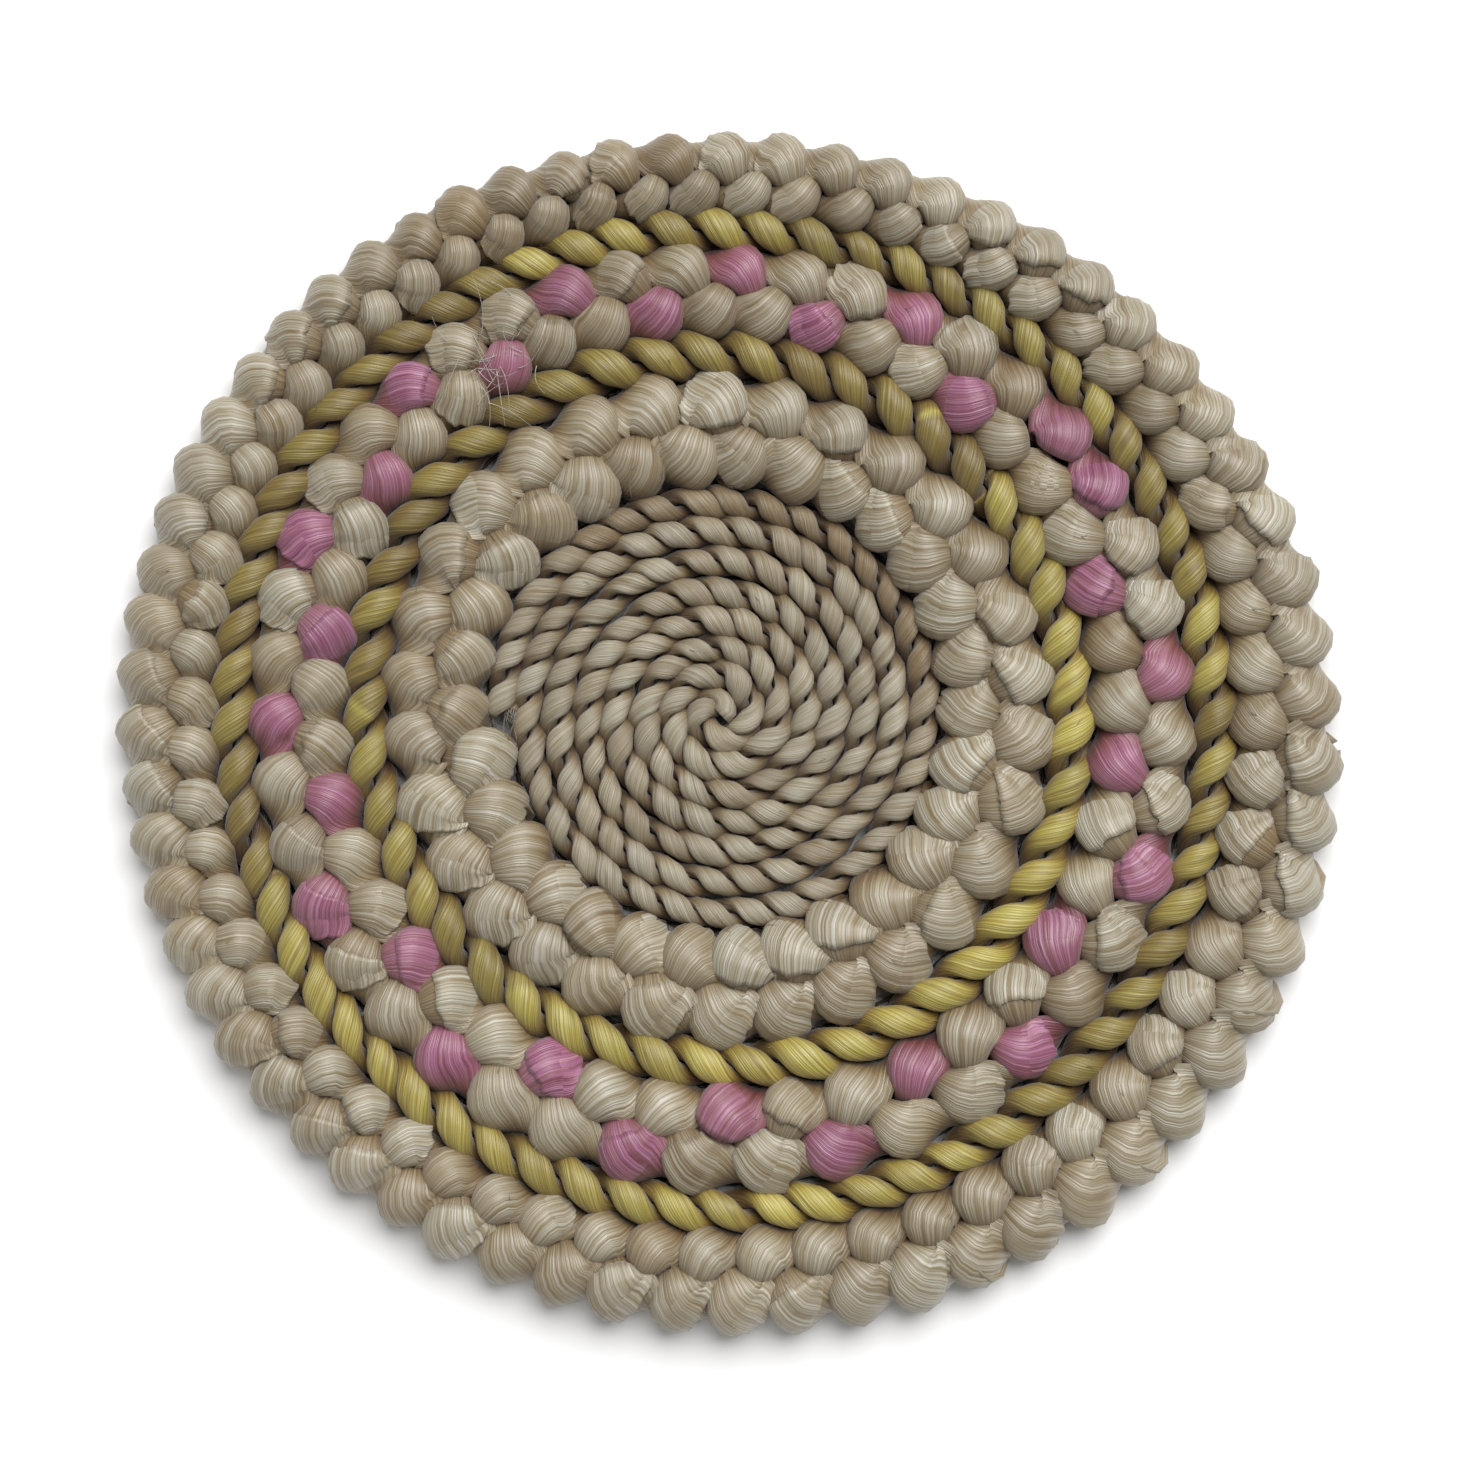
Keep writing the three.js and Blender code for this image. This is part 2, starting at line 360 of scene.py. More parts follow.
def braid_strand(row, index, rng):
    """The parts of one strand of a three-strand braid: its bundle of husk and the loose leaves on it."""
    start = TURN * (row["start_phase"] + index / 3)
    hidden_start = start + (HIDDEN_PHASE - start) % math.pi
    cycles = row["lobes"] / 3
    steps = int(cycles * row["steps_per_cycle"])
    phase = hidden_start + TURN * cycles * np.linspace(0, 1, steps + 1)
    half_turns = phase / math.pi
    hurry = row["steepness"] / 2 * np.cos(2 * (phase - CROSSING_LAG))
    share = (phase - start + hurry) / (TURN * cycles)
    ring_radius = (row["inside"]["radius"] + row["outside"]["radius"]) / 2
    wander = smooth_noise(rng, half_turns, 1.0, STRAND_WANDER) / ring_radius
    angle = row_angle(row, share) + wander
    inner = seam_points(row["inside"], angle)
    outer = seam_points(row["outside"], angle)
    half = np.linalg.norm(outer - inner, axis=1) / 2
    out = unit(outer - inner)
    swell = 1 + smooth_noise(rng, half_turns, 1.0, STRAND_SWELL)
    width = half * keyed(phase, STRAND_SPREAD) * swell
    thickness = MM * keyed(phase, STRAND_THICKNESS) * swell
    width *= 1 + row["bias"] * np.cos(phase)
    sway = np.tanh(row["squareness"] * np.cos(phase)) / math.tanh(row["squareness"])
    side = half * (row["reach"] * sway - 0.65 * row["bias"])
    middle = (inner + outer) / 2 + out * side[:, None]
    lift = row["lift"] * keyed(phase, STRAND_LIFT) + smooth_noise(rng, half_turns, 1.0, STRAND_BOB)
    path = np.column_stack([middle, MID_HEIGHT + lift])
    over = np.tanh(ROLL_STEEPNESS * np.sin(phase + ROLL_LEAD)) / math.tanh(ROLL_STEEPNESS)
    roll = (math.pi / 2) * over
    hint = np.column_stack([out * np.cos(roll)[:, None], np.sin(roll)])
    length = path_length(path)
    relief = husk_relief(rng, length, row["sides"], STRAND_FOLDS, STRAND_RELIEF, STRAND_FOLD_TWIST)
    rings = sweep(path, hint, width, thickness, row["sides"], relief)
    lobe = np.floor((phase + LOBE_LEAD) / math.pi).astype(int)
    rings = settle(rings)
    tone = lobe_tones(rng, row, angle, lobe)
    # Painted shade: the strand turns tan and darker towards where it dives under the others.
    dive = np.interp(np.degrees(phase) % 180, DIVE_PLACES, (0, 1, 1, 0))
    tone[:, 0] = np.clip(tone[:, 0] + DIVE_SHADE_TAN * dive, 0, 1)
    leaves = strand_leaves(rng, row, rings, length, phase, tone)
    wisps = loose_wisps(rng, rings, tone, row["wisps"], BRAID_WISP)
    return [tube_part(rings, length, tone), *leaves, *wisps]


def husk_leaf(rng, rings, length, tone, top, leaf):
    """A loose outer leaf on a strand: a thin shell that follows its surface, free and ragged at one end."""
    count, sides, _ = rings.shape
    u = np.linspace(0, 1, LEAF_COLUMNS)
    v = np.linspace(0, 1, LEAF_ROWS)[:, None]
    ragged = np.interp(u, np.linspace(0, 1, 8), rng.uniform(-1, 1, 8))
    ragged += np.interp(u, np.linspace(0, 1, LEAF_COLUMNS), rng.uniform(-0.4, 0.4, LEAF_COLUMNS))
    place = leaf["free_end"] + leaf["reach"] * v + leaf["ragged"] * ragged * (1 - v)
    place = np.clip(place, 0, count - 2)
    across = top + leaf["from"] + (leaf["to"] - leaf["from"]) * u + np.zeros_like(v)
    surface = sample_rings(rings, place, across)
    low = place.astype(int)
    outward = surface - rings.mean(1)[low]
    outward /= np.linalg.norm(outward, axis=2, keepdims=True)
    frill = 1 + leaf["frill"] * np.sin(TURN * (3.5 * u + rng.uniform()))
    side = np.sin(math.pi * u) ** 0.35
    raised = (LEAF_HEIGHT + leaf["lift"] * (1 - v) ** 2 * frill) * side
    height = raised - LEAF_SIDE_SINK * (1 - side) - LEAF_END_SINK * v**6
    upper = surface + outward * height[..., None]
    lower = surface + outward * (height - LEAF_THICKNESS)[..., None]
    turn = TURN * across / sides
    grain = np.stack([np.cos(turn), np.sin(turn), length[low]], 2)
    # Loose leaves stand clear of the crevices and get the full painted highlight of the tops.
    tones = np.concatenate([np.broadcast_to(tone, (*turn.shape, 3)), np.ones((*turn.shape, 1))], 2)
    return shell_part(upper, lower, grain, tones)


def sample_rings(rings, place, across):
    """Points of a tube's surface at fractional ring and side numbers."""
    sides = rings.shape[1]
    i, j = np.floor(place).astype(int), np.floor(across).astype(int)
    a, b = (place - i)[..., None], (across - j)[..., None]
    j, k = j % sides, (j + 1) % sides
    near = rings[i, j] * (1 - b) + rings[i, k] * b
    far = rings[i + 1, j] * (1 - b) + rings[i + 1, k] * b
    return near * (1 - a) + far * a


def shell_part(upper, lower, grain, tones):
    """Points, faces, grain and tone of a thin closed shell between two grids."""
    rows, columns, _ = upper.shape
    i = np.arange(rows - 1)[:, None] * columns
    j = np.arange(columns - 1)
    face = np.stack([i + j, i + j + 1, i + columns + j + 1, i + columns + j], -1).reshape(-1, 4)
    size = rows * columns
    rim = np.concatenate([
        np.arange(columns - 1), columns - 1 + columns * np.arange(rows - 1),
        size - 1 - np.arange(columns - 1), size - columns - columns * np.arange(rows - 1),
    ])
    after = np.roll(rim, -1)
    wall = np.stack([rim, rim + size, after + size, after], 1)
    quads = np.concatenate([face, face[:, ::-1] + size, wall])
    points = np.concatenate([upper.reshape(-1, 3), lower.reshape(-1, 3)])
    doubled = [np.concatenate([values.reshape(size, -1)] * 2) for values in (grain, tones)]
    return points, quads, np.zeros((0, 3), int), *doubled


def wisp(rng, start, along, outward, size, tone):
    """One loose fibre: a thin tapering hair that leaves the surface at start and curls away."""
    t = np.linspace(0, 1, WISP_POINTS)[:, None]
    curl = 0.5 * outward + rng.uniform(-0.7, 0.7, 3)
    path = start + size * (t * along + t**2 * curl)
    path[:, 2] = np.clip(path[:, 2], cad_low.z + WISP_FLOOR, cad_high.z + WISP_CEILING)
    radius = WISP_RADIUS * (1 - 0.7 * t[:, 0])
    length = size * t[:, 0]
    smooth = np.zeros((WISP_POINTS, WISP_SIDES))
    rings = sweep(path, np.tile(outward, (WISP_POINTS, 1)), radius, radius, WISP_SIDES, smooth)
    return tube_part(rings, length, np.tile(tone, (WISP_POINTS, 1)), cad_low.z)


def loose_wisps(rng, rings, tone, count, size):
    """A few wisps that stand off the upper side of a strand or ply."""
    parts = []
    for place in rng.integers(4, len(rings) - 4, count):
        centre = rings[place].mean(0)
        highest = rings[place][rings[place][:, 2].argmax()]
        outward = (highest - centre) / np.linalg.norm(highest - centre)
        along = rings[place + 1].mean(0) - rings[place - 1].mean(0)
        along = along / np.linalg.norm(along) * rng.choice([-1, 1])
        parts.append(wisp(rng, highest, along, outward, rng.uniform(0.5, 1.0) * size, tone[place]))
    return parts


def strand_leaves(rng, row, rings, length, phase, tone):
    """Loose outer leaves on some of the strand's crossings: gathered lips and torn ends over tan husk."""
    sides = row["sides"]
    step = phase[1] - phase[0]
    degree = math.radians(1) / step
    places = np.arange(len(phase))
    parts = []
    first = math.ceil((phase[0] - math.radians(20)) / math.pi)
    last = math.floor((phase[-1] - math.radians(90)) / math.pi)
    for crossing in range(first, last + 1):
        at = (crossing * math.pi - phase[0]) / step
        outer = crossing % 2 == 0
        top = sides * (0.25 if outer else 0.75)
        own = tone[int(np.clip(at + 40 * degree, 0, len(tone) - 1))].copy()
        if rng.uniform() < row["lips"]:
            lip = {
                "free_end": at + rng.uniform(*LIP_START) * degree,
                "reach": LIP_REACH * degree, "ragged": LIP_RAGGED * degree,
                "from": rng.uniform(-0.24, -0.16) * sides, "to": rng.uniform(0.12, 0.22) * sides,
                "lift": rng.uniform(*LIP_LIFT), "frill": 0.4,
            }
            lip_tone = np.clip(own + [rng.uniform(-0.1, 0.15), -0.1, rng.uniform(-0.3, 0.3)], 0, 1)
            parts.append(husk_leaf(rng, rings, length, lip_tone, top, lip))
        if rng.uniform() < row["tears"]:
            torn_at = rng.uniform(*TEAR_START)
            tear = {
                "free_end": at + torn_at * degree,
                "reach": TEAR_REACH * degree, "ragged": TEAR_RAGGED * degree,
                "from": -0.24 * sides, "to": 0.24 * sides,
                "lift": rng.uniform(*TEAR_LIFT), "frill": 0.25,
            }
            parts.append(husk_leaf(rng, rings, length, own, top, tear))
            bared_from = at + (torn_at - BARED_LEAD) * degree
            bared = (places > bared_from) & (places < at + BARED_END * degree)
            tone[bared, 0] = rng.uniform(*BARED_TAN)
    return parts


def lobe_tones(rng, row, angle, lobe):
    """For each ring: how tan the lobe is, how dark it is, and a random value of its own."""
    first = lobe.min()
    count = lobe.max() - first + 1
    tan = np.clip(rng.normal(row["tan"], 0.18, count), 0, 1)
    dark = np.clip(rng.normal(0.3, 0.2, count), 0, 1)
    own = rng.uniform(0, 1, count)
    at = lobe - first
    tone = np.stack([tan[at], dark[at], own[at]], 1)
    for low, high, amount in row.get("tan_arcs", ()):
        degrees = np.degrees(angle) % 360
        inside = (degrees > low) & (degrees < high)
        tone[inside, 0] = np.clip(tone[inside, 0] + amount, 0, 1)
    return tone


def build_braid(row):
    """The strands of one braid, each as a piece of its own."""
    for index, name in enumerate(row["nodes"]):
        rng = np.random.default_rng(row["seed"] + index)
        piece = make_mesh(name + "_husk", braid_strand(row, index, rng), row["materials"][index])
        declare(piece, name)


def declare(piece, node):
    """Ties a piece to the pad's only body and hides the CAD node that it stands for."""
    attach(piece, "root")
    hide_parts(node)


# ---------------------------------------------------------------- cords

PLY_FOLDS = 13
PLY_FOLD_TWIST = -22.0
PLY_RELIEF = 0.075 * MM
RING_CORD_WISP = 5 * MM
COIL_WISP = 4 * MM
COIL_DRIFT = 0.5 * MM
COIL_TAN = 0.8

# The coil's first half turn is tan: it fades in and out at these turns, over these lengths.
TAN_TURNS_START = 0.06
TAN_TURNS_END = 0.56
TAN_FADE_IN = 0.1
TAN_FADE_OUT = 0.08


def ply_rings(path, out, phase, row, rng):
    """Rings of one ply wound round a cord's middle line. Phase grows as the ply goes round."""
    half_turns = phase / math.pi
    radius = row["radius"] * (1 + smooth_noise(rng, half_turns, 1.0, row["uneven"]))
    phase = phase + smooth_noise(rng, half_turns, 1.5, 2.5 * row["uneven"])
    offset = radius * row["offset"]
    direction = np.column_stack([out * np.cos(phase)[:, None], np.sin(phase)])
    centre = path + direction * offset[:, None]
    length = path_length(centre)
    relief = husk_relief(rng, length, row["sides"], PLY_FOLDS, PLY_RELIEF, PLY_FOLD_TWIST)
    width = radius * row["ply_width"] * (1 - row["belly"] * np.cos(2 * phase))
    rings = sweep(centre, direction, width, radius * row["ply_height"], row["sides"], relief)
    bump = np.floor((phase + math.pi / 2) / TURN).astype(int)
    return settle(rings), length, bump


def ring_cord_line(row):
    """The middle line of a cord that lies between two seams, with the direction outwards and the angle."""
    steps = int(row["twists"] * row["steps_per_cycle"])
    share = np.linspace(0, 1, steps + 1)
    angle = row_angle(row, share)
    inner = seam_points(row["inside"], angle)
    outer = seam_points(row["outside"], angle)
    out = unit(outer - inner)
    middle = (inner + outer) / 2
    path = np.column_stack([middle, np.full(len(middle), MID_HEIGHT)])
    return path, out, share, angle


def build_ring_cord(row):
    """The two plies of a cord that runs once round the pad."""
    path, out, share, angle = ring_cord_line(row)
    for index, name in enumerate(row["nodes"]):
        rng = np.random.default_rng(row["seed"] + index)
        phase = TURN * (row["start_phase"] + index / 2 + row["twists"] * share)
        rings, length, bump = ply_rings(path, out, phase, row, rng)
        tone = lobe_tones(rng, row, angle, bump)
        wisps = loose_wisps(rng, rings, tone, row["wisps"], RING_CORD_WISP)
        piece = make_mesh(name + "_husk", [tube_part(rings, length, tone), *wisps], row["materials"][index])
        declare(piece, name)


def frayed_end(rng, rings, tone):
    """The cut end of the coil: a short brush of fibres past the first ring."""
    centre = rings[0].mean(0)
    back = centre - rings[2].mean(0)
    back /= np.linalg.norm(back)
    return [
        wisp(rng, spot * 0.7 + centre * 0.3, back, UP * 0.3, rng.uniform(3, 6.5) * MM, tone[0])
        for spot in np.repeat(rings[0][::2], 2, axis=0)
    ]


def build_coil(row):
    """The two plies of the cord that coils inwards to the middle, twisted evenly along its length."""
    fine = np.linspace(0, row["turns"], 4000)
    pace = TURN * coil_radius(fine)
    along = np.concatenate([[0], np.cumsum((pace[1:] + pace[:-1]) / 2 * np.diff(fine))])
    steps = int(row["twists"] * row["steps_per_cycle"])
    along_steps = np.linspace(0, along[-1], steps + 1)
    turns = np.interp(along_steps, along, fine)
    angle = coil_angle(turns)
    out = radial(angle)
    drift = smooth_noise(np.random.default_rng(row["seed"] + 9), along_steps, 0.02, COIL_DRIFT)
    middle = COIL_RIM["centre"] + out * (coil_path_radius(turns) + drift)[:, None]
    path = np.column_stack([middle, np.full(len(middle), COIL_HEIGHT)])
    share = np.linspace(0, 1, steps + 1)
    for index, name in enumerate(row["nodes"]):
        rng = np.random.default_rng(row["seed"] + index)
        phase = TURN * (row["start_phase"] + index / 2 + row["twists"] * share)
        rings, length, bump = ply_rings(path, out, phase, row, rng)
        tone = lobe_tones(rng, row, angle, bump)
        fade_in = np.clip((turns - TAN_TURNS_START) / TAN_FADE_IN, 0, 1)
        fade_out = np.clip((TAN_TURNS_END - turns) / TAN_FADE_OUT, 0, 1)
        tone[:, 0] = np.clip(tone[:, 0] + COIL_TAN * (fade_in * fade_out), 0, 1)
        parts = [tube_part(rings, length, tone, COIL_HEIGHT)]
        parts += loose_wisps(rng, rings, tone, row["wisps"], COIL_WISP)
        parts += frayed_end(rng, rings, tone)
        piece = make_mesh(name + "_husk", parts, row["materials"][index])
        declare(piece, name)


# ---------------------------------------------------------------- threads

THREAD_RADIUS = 0.55 * MM
THREAD_SIDES = 8
THREAD_STEPS = 700
STITCHES = 60
STITCH_WAVE = 0.5 * MM
COIL_THREAD_STEPS = 900
COIL_THREAD_TURNS = (0.9, 6.5)
COIL_THREAD_HEIGHT = 3.2 * MM

# The tangle of cotton hairs lies round this angle in degrees, spread over a few degrees.
FUZZ_SEED = 71
FUZZ_PLACE = 123
FUZZ_REACH = 4.5
FUZZ_COUNT = 26


def thread_part(path, tone):
    """A plain round thread along a path."""
    count = len(path)
    size = np.full(count, THREAD_RADIUS)
    smooth = np.zeros((count, THREAD_SIDES))
    rings = sweep(path, np.tile(UP, (count, 1)), size, size, THREAD_SIDES, smooth)
    return tube_part(settle(rings), path_length(path), tone)


def build_thread(node, ring, material, showing=()):
    """One sewing thread along a seam. Over each showing place it rides up where it can be seen."""
    low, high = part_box(node)
    angle = np.linspace(0, -TURN, THREAD_STEPS)
    height = (low.z + high.z) / 2 + STITCH_WAVE * np.sin(STITCHES * angle)
    for place, reach, lift in showing:
        away = (np.degrees(angle) - place + 180) % 360 - 180
        height = height + lift * np.exp(-(away / reach) ** 4)
    path = np.column_stack([seam_points(ring, angle), height])
    tone = np.zeros((len(path), 3))
    # Painted shade: the thread is dark brown low in the seam and turns off-white as it rides up.
    tone[:, 0] = np.clip((height - MID_HEIGHT) / (4 * MM), 0, 1)
    parts = [thread_part(path, tone)]
    if showing:
        parts += cotton_fuzz(np.random.default_rng(FUZZ_SEED), ring)
    declare(make_mesh(node + "_twine", parts, material), node)


def cotton_fuzz(rng, ring):
    """Loose cotton hairs that lie tangled on the row outside a seam."""
    parts = []
    for turn in np.radians(FUZZ_PLACE + rng.normal(0, FUZZ_REACH, FUZZ_COUNT)):
        out = np.array([math.cos(turn), math.sin(turn), 0.0])
        start = (ring["radius"] + rng.uniform(2, 24) * MM) * out + [*ring["centre"], cad_high.z]
        heading = rng.uniform(0, TURN)
        along = np.array([math.cos(heading), math.sin(heading), 0.0])
        parts.append(wisp(rng, start, along, UP, rng.uniform(8, 18) * MM, np.ones(3)))
    return parts


def build_coil_thread(material):
    """The thread that sews each turn of the coil to the next, in the groove below them."""
    turns = np.linspace(*COIL_THREAD_TURNS, COIL_THREAD_STEPS)
    groove = (coil_radius(turns) + coil_radius(turns + 1)) / 2
    spot = COIL_RIM["centre"] + radial(coil_angle(turns)) * groove[:, None]
    path = np.column_stack([spot, np.full(len(spot), COIL_THREAD_HEIGHT)])
    # Painted shade: the thread in the groove below the coil is dark brown all along.
    part = thread_part(path, np.zeros((len(path), 3)))
    declare(make_mesh("coil_seam_thread_twine", [part], material), "coil_seam_thread")


# ---------------------------------------------------------------- materials


class Nodes:
    """Short calls for making and joining shader nodes in one material."""

    def __init__(self, name):
        self.material = bpy.data.materials.new(name)
        self.material.use_nodes = True
        self.tree = self.material.node_tree
        self.shader = self.tree.nodes["Principled BSDF"]

    def add(self, kind, inputs=(), **settings):
        node = self.tree.nodes.new(kind)
        for key, value in settings.items():
            setattr(node, key, value)
        for key, value in dict(inputs).items():
            if isinstance(value, bpy.types.NodeSocket):
                self.tree.links.new(value, node.inputs[key])
            else:
                node.inputs[key].default_value = value
        return node

    def link(self, source, target):
        self.tree.links.new(source, target)

    def maths(self, operation, a, b):
        return self.add("ShaderNodeMath", {0: a, 1: b}, operation=operation).outputs[0]

    def attribute(self, name):
        return self.add("ShaderNodeAttribute", attribute_name=name)

    def stretch(self, vector, scale):
        return self.add("ShaderNodeVectorMath", {0: vector, 1: scale}, operation="MULTIPLY").outputs[0]

    def noise(self, vector, scale, detail=2.0, roughness=0.5):
        inputs = {"Vector": vector, "Scale": scale, "Detail": detail, "Roughness": roughness}
        return self.add("ShaderNodeTexNoise", inputs).outputs["Fac"]

    def creases(self, vector):
        """The distance to the nearest of many long, thin folds."""
        inputs = {"Vector": vector, "Scale": 1.0, "Randomness": 1.0}
        node = self.add("ShaderNodeTexVoronoi", inputs, feature="DISTANCE_TO_EDGE")
        return node.outputs["Distance"]

    def ramp(self, factor, *stops):
        node = self.add("ShaderNodeValToRGB", {"Fac": factor})
        elements = node.color_ramp.elements
        while len(elements) < len(stops):
            elements.new(0.5)
        for element, (place, colour) in zip(elements, stops):
            element.position = place
            element.color = (*colour, 1.0)
        return node.outputs["Color"]

    def mix(self, factor, a, b, blend="MIX"):
        node = self.tree.nodes.new("ShaderNodeMix")
        node.data_type = "RGBA"
        node.blend_type = blend
        sockets = {"Factor": "VALUE", "A": "RGBA", "B": "RGBA"}
        for name, value in (("Factor", factor), ("A", a), ("B", b)):
            target = next(s for s in node.inputs if s.name == name and s.type == sockets[name])
            if isinstance(value, bpy.types.NodeSocket):
                self.link(value, target)
            else:
                target.default_value = (*value, 1.0) if sockets[name] == "RGBA" else value
        return next(s for s in node.outputs if s.type == "RGBA")


def grey(value):
    """A colour without a hue."""
    return (value, value, value)


def husk_material(name, light, body, deep, tan, fold_count, vein_count):
    """Dry corn husk: fine veins along the strand, pale and dark streaks, creases with painted shade in them,
    tan lobes, a few brown stains, painted shade in the crevices and a painted highlight on the tops.
    """
    n = Nodes(name)
    grain = n.attribute("grain").outputs["Vector"]
    tone = n.attribute("tone")
    tones = n.add("ShaderNodeSeparateColor", {0: tone.outputs["Color"]})
    tan_amount, dark_amount, own = tones.outputs
    own_shift = n.add("ShaderNodeCombineXYZ", {0: own, 1: own, 2: own}).outputs[0]
    shifted = n.add("ShaderNodeVectorMath", {0: grain, 1: own_shift}, operation="ADD").outputs[0]
    streaks = n.noise(n.stretch(shifted, (9.0, 9.0, 22.0)), 1.0, 4.0, 0.62)
    veins = n.noise(n.stretch(grain, (vein_count, vein_count, 30.0)), 1.0, 2.0, 0.6)
    creases = n.creases(n.stretch(grain, (fold_count, fold_count, 16.0)))
    clouds = n.noise(n.stretch(shifted, (1.6, 1.6, 90.0)), 1.0, 2.0, 0.5)
    colour = n.ramp(streaks, (0.22, deep), (0.4, body), (0.68, light))
    colour = n.mix(n.maths("MULTIPLY", tan_amount, 0.85), colour, tan)
    fine = n.ramp(veins, (0.32, (0.8, 0.76, 0.68)), (0.5, grey(0.98)), (0.66, grey(1.06)))
    colour = n.mix(0.85, colour, fine, "MULTIPLY")
    # Painted shade: the colour darkens and warms along the crease lines, as if the folds lay in shadow.
    painted_crease_shade = n.ramp(creases, (0.0, (0.6, 0.5, 0.36)), (0.07, (0.9, 0.86, 0.79)), (0.2, grey(1.04)))
    colour = n.mix(1.0, colour, painted_crease_shade, "MULTIPLY")
    shade = n.ramp(dark_amount, (0.0, grey(1.08)), (1.0, grey(0.82)))
    colour = n.mix(1.0, colour, shade, "MULTIPLY")
    stain_mask = n.ramp(clouds, (0.66, grey(0.0)), (0.78, grey(1.0)))
    stained = n.mix(1.0, colour, (0.62, 0.45, 0.3), "MULTIPLY")
    stain = n.maths("MULTIPLY", n.add("ShaderNodeSeparateColor", {0: stain_mask}).outputs[0], 0.6)
    colour = n.mix(stain, colour, stained)
    # Painted shade and highlight: darker and warmer down in the crevices, slightly brighter and bluer on the
    # tops.
    painted_shade_and_highlight = n.ramp(
        tone.outputs["Alpha"],
        (0.0, (0.24, 0.14, 0.05)),
        (0.4, (0.62, 0.5, 0.33)),
        (0.8, (0.98, 0.96, 0.93)),
        (1.0, (1.06, 1.08, 1.12)),
    )
    colour = n.mix(1.0, colour, painted_shade_and_highlight, "MULTIPLY")
    n.link(colour, n.shader.inputs["Base Color"])
    rough = n.add("ShaderNodeMapRange", {0: veins, 1: 0.3, 2: 0.7, 3: 0.52, 4: 0.38}).outputs[0]
    n.link(rough, n.shader.inputs["Roughness"])
    n.shader.inputs["Specular IOR Level"].default_value = 0.7
    n.shader.inputs["Sheen Weight"].default_value = 0.25
    fold = n.add("ShaderNodeMapRange", {0: creases, 1: 0.0, 2: 0.3, 3: 0.0, 4: 0.6}).outputs[0]
    height = n.maths("ADD", n.maths("MULTIPLY", veins, 0.8), fold)
    bump = n.add("ShaderNodeBump", {"Height": height, "Strength": 0.6, "Distance": 0.0004})
    n.link(bump.outputs[0], n.shader.inputs["Normal"])
    return n.material


def thread_material():
    """Cotton thread: off-white where it shows, painted dark brown as shade down in the seams."""
    n = Nodes("cotton_thread")
    grain = n.attribute("grain").outputs["Vector"]
    plies = n.noise(n.stretch(grain, (2.0, 2.0, 900.0)), 1.0, 2.0, 0.5)
    unshaded_colour = n.ramp(plies, (0.3, (0.34, 0.31, 0.25)), (0.7, (0.55, 0.52, 0.46)))
    tones = n.add("ShaderNodeSeparateColor", {0: n.attribute("tone").outputs["Color"]})
    # Painted shade: dark brown where the tone is low, the thread's own colour where it is high.
    colour = n.mix(tones.outputs[0], (0.10, 0.07, 0.04), unshaded_colour)
    n.link(colour, n.shader.inputs["Base Color"])
    n.shader.inputs["Roughness"].default_value = 0.85
    bump = n.add("ShaderNodeBump", {"Height": plies, "Strength": 0.5, "Distance": 0.0003})
    n.link(bump.outputs[0], n.shader.inputs["Normal"])
    return n.material


def floor_material():
    """Plain pale matt paper."""
    n = Nodes("floor")
    n.shader.inputs["Base Color"].default_value = (0.93, 0.93, 0.93, 1.0)
    n.shader.inputs["Roughness"].default_value = 0.9
    return n.material


CREAM = husk_material(
    "cream_husk", light=(0.465, 0.45, 0.385), body=(0.32, 0.28, 0.19), deep=(0.165, 0.12, 0.055),
    tan=(0.195, 0.13, 0.055), fold_count=9.0, vein_count=15.0,
)
PINK = husk_material(
    "pink_husk", light=(0.41, 0.185, 0.29), body=(0.245, 0.065, 0.14), deep=(0.14, 0.03, 0.065),
    tan=(0.31, 0.13, 0.18), fold_count=9.0, vein_count=15.0,
)
YELLOW = husk_material(
    "yellow_husk", light=(0.48, 0.43, 0.135), body=(0.37, 0.305, 0.042), deep=(0.215, 0.14, 0.014),
    tan=(0.135, 0.085, 0.015), fold_count=5.0, vein_count=15.0,
)
THREAD = thread_material()


# ---------------------------------------------------------------- the rows

# Each row is worked clockwise from its start angle in degrees, and its lobes bunch up by a few degrees here
# and there. Arcs of tan husk are (from, to, amount), in degrees anticlockwise from +X.
BRAID = {
    "reach": 0.56, "squareness": 0.9, "lift": 5.2 * MM, "bias": 0.0,
    "tan": 0.22, "lips": 0.35, "tears": 0.34, "wisps": 14,
    "sides": 80, "steps_per_cycle": 32, "start_phase": 0, "start_angle": 0, "bunch_cos": 0, "bunch_sin": 0,
}

INNER_BRAID = BRAID | {
    "nodes": ["inner_braid_strand_1", "inner_braid_strand_2", "inner_braid_strand_3"],
    "materials": [CREAM] * 3, "slots": ["cream_husk"] * 3,
    "inside": COIL_RIM, "outside": INNER_BRAID_RIM,
    "lobes": 30, "steepness": 0.55, "seed": 11,
}
MIXED_BRAID = BRAID | {
    "nodes": ["mixed_braid_pink_strand", "mixed_braid_cream_strand_1", "mixed_braid_cream_strand_2"],
    "materials": [PINK, CREAM, CREAM], "slots": ["pink_husk", "cream_husk", "cream_husk"],
    "inside": INNER_YELLOW_RIM, "outside": MIXED_BRAID_RIM,
    "lobes": 43, "steepness": 0.4, "seed": 21, "reach": 0.6,
    "start_angle": 45, "start_phase": 7 / 12, "bunch_cos": 4.2, "bunch_sin": 2.5,
}
